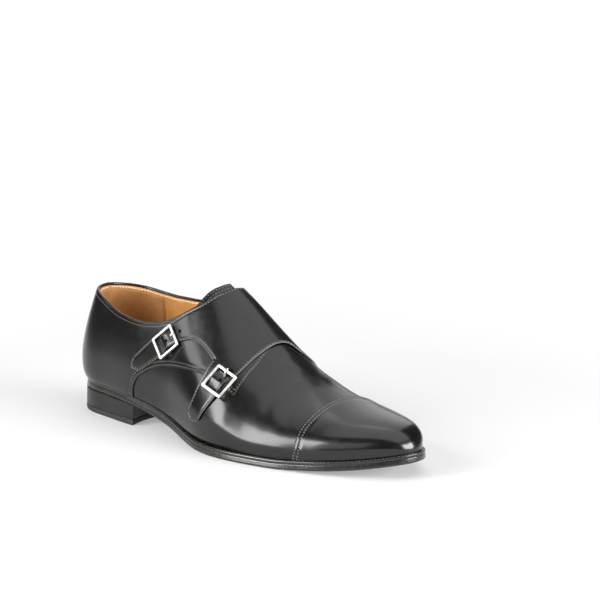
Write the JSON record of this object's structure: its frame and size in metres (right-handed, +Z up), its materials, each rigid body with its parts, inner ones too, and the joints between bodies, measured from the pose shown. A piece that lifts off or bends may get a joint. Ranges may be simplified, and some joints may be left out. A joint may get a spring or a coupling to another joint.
{
  "type": "monk strap shoe",
  "caption": "Right men's dress shoe with straight toe cap, leather sole and stacked heel, its panel crossing the instep and ending in buckled straps on the outer side.",
  "frame": {"origin": "middle of the shoe's bounding box seen from above, on the floor", "axes": "+X to the toe, +Y to the inner side of the foot, +Z up"},
  "size_m": [0.2982, 0.1051, 0.1057],
  "materials": {
    "outsole": "sole leather, blackened and waxed edge",
    "welt": "waxed black edge",
    "heel_stack": "stacked leather lifts, blackened",
    "heel_top_piece": "matte black",
    "insole": "smooth tan",
    "upper": "polished black calf, tan lining",
    "tongue": "black calf",
    "strap_panel": "polished black calf",
    "buckles": "polished silver"
  },
  "bodies": {
    "root": {"outsole": "outsole", "welt": "welt", "heel_stack": "heel_stack", "heel_top_piece": "heel_top_piece", "insole": "insole", "upper": "upper", "tongue": "tongue", "strap_panel": "strap_panel", "buckle_rear": "buckles", "buckle_front": "buckles", "prong_rear": "buckles", "prong_front": "buckles"}
  },
  "joints": []
}
